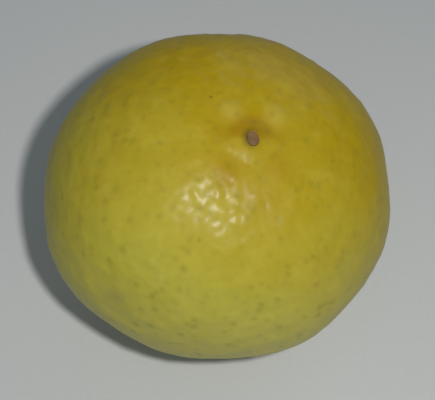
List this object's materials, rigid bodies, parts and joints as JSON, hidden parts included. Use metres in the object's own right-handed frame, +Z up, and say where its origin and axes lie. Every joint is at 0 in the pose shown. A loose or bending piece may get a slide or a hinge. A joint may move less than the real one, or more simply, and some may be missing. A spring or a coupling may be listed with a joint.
{
  "type": "key lime",
  "caption": "Ripe yellow key lime, whole and nearly round, resting on its stem end with its low blossom-end nipple uppermost.",
  "frame": {"origin": "on the floor, on the flat spot the fruit rests on, straight under the fruit's centre", "axes": "+Z up, +Y to the back, +X to the right; the blossom end leans 13.3 degrees from +Z towards +X and -Y"},
  "size_m": [0.04, 0.038, 0.0365],
  "materials": {
    "rind": "satin",
    "style_scar": "matte",
    "stem_scar": "matte"
  },
  "bodies": {
    "root": {"fruit": "rind", "style_scar": "style_scar", "stem_scar": "stem_scar"}
  },
  "joints": []
}
